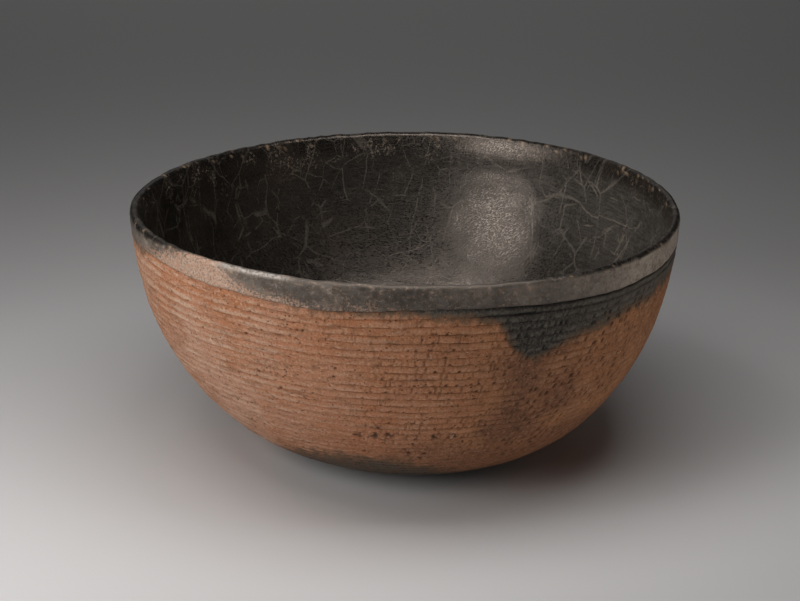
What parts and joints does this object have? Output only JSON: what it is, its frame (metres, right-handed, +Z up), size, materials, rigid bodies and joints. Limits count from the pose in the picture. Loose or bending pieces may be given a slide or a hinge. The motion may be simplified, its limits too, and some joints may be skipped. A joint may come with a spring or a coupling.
{
  "type": "corrugated pottery bowl",
  "caption": "Hand-coiled clay bowl: fine corrugated outside of lapped clay ropes, smooth black inside, plain smoothed rim band, rounded base with a small flat rest.",
  "frame": {"origin": "on the floor under the middle of the rim", "axes": "+Z up along the bowl's axis, -Y towards the viewer of the pictured side, +X to that viewer's right"},
  "size_m": [0.2484, 0.2514, 0.1138],
  "materials": {
    "corrugated_clay": "unglazed low-fired clay, matt, orange brown with grey and black fire clouds, rope surfaces lightly nicked and worn",
    "smudged_clay": "smudged and burnished clay, black to dark grey, satin, with fine pale scratches"
  },
  "bodies": {
    "root": {"base_disc": "corrugated_clay", "coil_01": "corrugated_clay", "coil_02": "corrugated_clay", "coil_03": "corrugated_clay", "coil_04": "corrugated_clay", "coil_05": "corrugated_clay", "coil_06": "corrugated_clay", "coil_07": "corrugated_clay", "coil_08": "corrugated_clay", "coil_09": "corrugated_clay", "coil_10": "corrugated_clay", "coil_11": "corrugated_clay", "coil_12": "corrugated_clay", "coil_13": "corrugated_clay", "coil_14": "corrugated_clay", "coil_15": "corrugated_clay", "coil_16": "corrugated_clay", "coil_17": "corrugated_clay", "coil_18": "corrugated_clay", "coil_19": "corrugated_clay", "coil_20": "corrugated_clay", "coil_21": "corrugated_clay", "coil_22": "corrugated_clay", "coil_23": "corrugated_clay", "coil_24": "corrugated_clay", "coil_25": "corrugated_clay", "coil_26": "corrugated_clay", "coil_27": "corrugated_clay", "coil_28": "corrugated_clay", "coil_29": "corrugated_clay", "coil_30": "corrugated_clay", "coil_31": "corrugated_clay", "coil_32": "corrugated_clay", "coil_33": "corrugated_clay", "coil_34": "corrugated_clay", "coil_35": "corrugated_clay", "coil_36": "corrugated_clay", "coil_37": "corrugated_clay", "coil_38": "corrugated_clay", "rim_fillet": "smudged_clay"}
  },
  "joints": []
}
